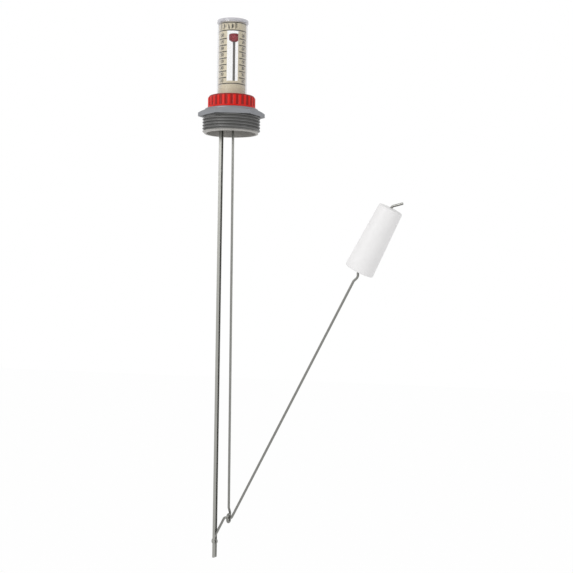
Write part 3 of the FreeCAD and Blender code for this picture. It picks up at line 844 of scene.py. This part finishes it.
class GAUGE_OT_linkage(bpy.types.Operator):
    """Dresses the wire arm, the thin rod and its red button"""

    bl_idname = "gauge.linkage"
    bl_label = "Arm and rod"

    def execute(self, context):
        dress_nodes(("float_arm", "link_rod"), drawn_wire())
        dress_nodes(("indicator",), button_plastic())
        return {"FINISHED"}


# Float, along the axis of its joint from its lower end

FLOAT_JOINT = next(joint for joint in frame["joints"] if joint["child"] == "float_body")
FLOAT_FOOT = Vector(FLOAT_JOINT["pos_m"])
FLOAT_AXIS = Vector(FLOAT_JOINT["axis"])
FLOAT_LENGTH = 49.6 * MM
FLOAT_RADIUS = 10.5 * MM
FLOAT_TIP_RADIUS = 8.85 * MM
FLOAT_BORE = 0.98 * MM
FLOAT_BEVEL = 0.3 * MM
FLOAT_ROUND = 1.1 * MM
FLOAT_CROWN = 0.5 * MM
FLOAT_CORNERS = 96


def float_outline():
    """The tapered float's section: a bore, two gently crowned ends and small round edges."""
    low = FLOAT_CROWN + FLOAT_ROUND
    high = FLOAT_LENGTH - FLOAT_CROWN - FLOAT_ROUND
    outline = [(FLOAT_BORE, FLOAT_BEVEL), (FLOAT_BORE + FLOAT_BEVEL, 0.0)]
    outline += arc((FLOAT_RADIUS - FLOAT_ROUND, low), FLOAT_ROUND, -88, 0, steps=8)
    outline += arc((FLOAT_TIP_RADIUS - FLOAT_ROUND, high), FLOAT_ROUND, 0, 88, steps=8)
    outline += [(FLOAT_BORE + FLOAT_BEVEL, FLOAT_LENGTH), (FLOAT_BORE, FLOAT_LENGTH - FLOAT_BEVEL)]
    return outline


class GAUGE_OT_float(bpy.types.Operator):
    """Makes the tapered foam float"""

    bl_idname = "gauge.float"
    bl_label = "Float"

    def execute(self, context):
        mesh = lathe("float_body", float_outline(), FLOAT_CORNERS)
        leaned = FLOAT_AXIS.to_track_quat("Z", "Y").to_matrix().to_4x4()
        mesh.transform(Matrix.Translation(FLOAT_FOOT) @ leaned)
        soften(mesh, degrees=40)
        piece = linked("float_body", mesh)
        dress(piece, "float_body", float_foam())
        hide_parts("float")
        return {"FINISHED"}


# Studio: a camera at the photograph's angle, about the thread's axis, and soft light

CAMERA_TURN = math.radians(25)
CAMERA_DISTANCE = 0.9
CAMERA_HEIGHT = -0.13939
CAMERA_PITCH = math.radians(1.03)
CAMERA_ROLL = math.radians(0.88)
CAMERA_ASIDE = 0.04218
CAMERA_FOCUS_PIXELS = 1233.78
CAMERA_NEAR = 0.05
SENSOR_WIDTH = 36.0
FLOOR_DROP = 0.25
FLOOR_HALF = 6.0
FLOOR_GLOW = 0.97
LIGHT_FROM_BELOW = 0.2
LIGHT_FROM_ABOVE = 0.8


def view_directions():
    """The unit vectors to the camera's right, before its roll, and forward."""
    right = Vector((math.cos(CAMERA_TURN), math.sin(CAMERA_TURN), 0))
    level = Vector((-math.sin(CAMERA_TURN), math.cos(CAMERA_TURN), 0))
    forward = level * math.cos(CAMERA_PITCH) + Vector((0, 0, math.sin(CAMERA_PITCH)))
    return right, forward


def make_camera():
    data = bpy.data.cameras.new("camera")
    data.sensor_width = SENSOR_WIDTH
    data.lens = CAMERA_FOCUS_PIXELS / IMAGE_PIXELS * SENSOR_WIDTH
    data.clip_start = CAMERA_NEAR
    camera = linked("camera", data)
    right, forward = view_directions()
    up = right.cross(forward)
    rolled_right = right * math.cos(CAMERA_ROLL) + up * math.sin(CAMERA_ROLL)
    rolled_up = up * math.cos(CAMERA_ROLL) - right * math.sin(CAMERA_ROLL)
    place = Vector((math.sin(CAMERA_TURN) * CAMERA_DISTANCE, -math.cos(CAMERA_TURN) * CAMERA_DISTANCE,
                    CAMERA_HEIGHT)) + right * CAMERA_ASIDE
    turned = Matrix((rolled_right, rolled_up, -forward)).transposed().to_4x4()
    camera.matrix_world = Matrix.Translation(place) @ turned
    bpy.context.scene.camera = camera


def make_lamp(name, aside, near, height, width, watts):
    """A square soft box, placed from the object's middle as the camera sees it, that looks at it."""
    data = bpy.data.lights.new(name, "AREA")
    data.size = width
    data.energy = watts
    lamp = linked(name, data)
    middle = (CAD_BOX[0] + CAD_BOX[1]) / 2
    right, forward = view_directions()
    place = middle + right * aside - forward * near + Vector((0, 0, height))
    lamp.location = place
    lamp.rotation_mode = "QUATERNION"
    lamp.rotation_quaternion = (middle - place).to_track_quat("-Z", "Y")


def make_world():
    """Studio light, brighter from above, that the camera, gloss and clear plastic see as white."""
    world = bpy.data.worlds.new("studio")
    world.use_nodes = True
    tree = world.node_tree
    tree.nodes.clear()
    direction = add(tree, "ShaderNodeTexCoord").outputs["Generated"]
    up = add(tree, "ShaderNodeSeparateXYZ", None, (direction,)).outputs["Z"]
    sky = add(tree, "ShaderNodeMapRange", None, {
        "Value": up, "From Min": -1.0, "To Min": LIGHT_FROM_BELOW, "To Max": LIGHT_FROM_ABOVE})
    level = add(tree, "ShaderNodeMapRange", None,
                {"Value": seen_directly(tree), "To Min": sky, "To Max": 1.0})
    light = add(tree, "ShaderNodeBackground", None,
                {"Color": rgba(colours().backdrop), "Strength": level})
    add(tree, "ShaderNodeOutputWorld", None, {"Surface": light})
    bpy.context.scene.world = world


def make_floor():
    """A wide white floor below the strip's foot."""
    level = CAD_BOX[0].z - FLOOR_DROP
    corners = [(x * FLOOR_HALF, y * FLOOR_HALF, level) for x, y in ((-1, -1), (1, -1), (1, 1), (-1, 1))]
    mesh = bpy.data.meshes.new("studio_floor")
    mesh.from_pydata(corners, [], [(0, 1, 2, 3)])
    mesh.materials.append(studio_white())
    linked("studio_floor", mesh)


class GAUGE_OT_stage(bpy.types.Operator):
    """Makes the white floor, the soft lamps and the camera"""

    bl_idname = "gauge.stage"
    bl_label = "Stage"

    def execute(self, context):
        context.scene.view_settings.view_transform = "Standard"
        make_world()
        make_floor()
        make_lamp("key", aside=-0.75, near=0.75, height=0.55, width=0.45, watts=5.5)
        make_lamp("fill", aside=0.9, near=0.6, height=0.15, width=0.6, watts=1.5)
        make_camera()
        return {"FINISHED"}


class GAUGE_PT_panel(bpy.types.Panel):
    """Lists the gauge's pieces, sizes and colours"""

    bl_idname = "GAUGE_PT_panel"
    bl_label = "Float Level Gauge"
    bl_space_type = "VIEW_3D"
    bl_region_type = "UI"
    bl_category = "Level Gauge"

    def draw(self, context):
        column = self.layout.column()
        for operator in OPERATORS:
            column.operator(operator.bl_idname)
        for group in (context.scene.gauge_sizes, context.scene.gauge_colours):
            box = self.layout.box()
            for name in group.bl_rna.properties.keys():
                if name not in ("rna_type", "name"):
                    box.prop(group, name)


OPERATORS = (GAUGE_OT_bushing, GAUGE_OT_vial, GAUGE_OT_scale_card, GAUGE_OT_collar,
             GAUGE_OT_support, GAUGE_OT_linkage, GAUGE_OT_float, GAUGE_OT_stage)
CLASSES = (GaugeSizes, GaugeColours, *OPERATORS, GAUGE_PT_panel)


def register():
    for kind in CLASSES:
        bpy.utils.register_class(kind)
    bpy.types.Scene.gauge_sizes = PointerProperty(type=GaugeSizes)
    bpy.types.Scene.gauge_colours = PointerProperty(type=GaugeColours)


def unregister():
    del bpy.types.Scene.gauge_colours
    del bpy.types.Scene.gauge_sizes
    for kind in reversed(CLASSES):
        bpy.utils.unregister_class(kind)


def main():
    register()
    for operator in OPERATORS:
        group, name = operator.bl_idname.split(".")
        getattr(getattr(bpy.ops, group), name)()


if __name__ == "__main__":
    main()
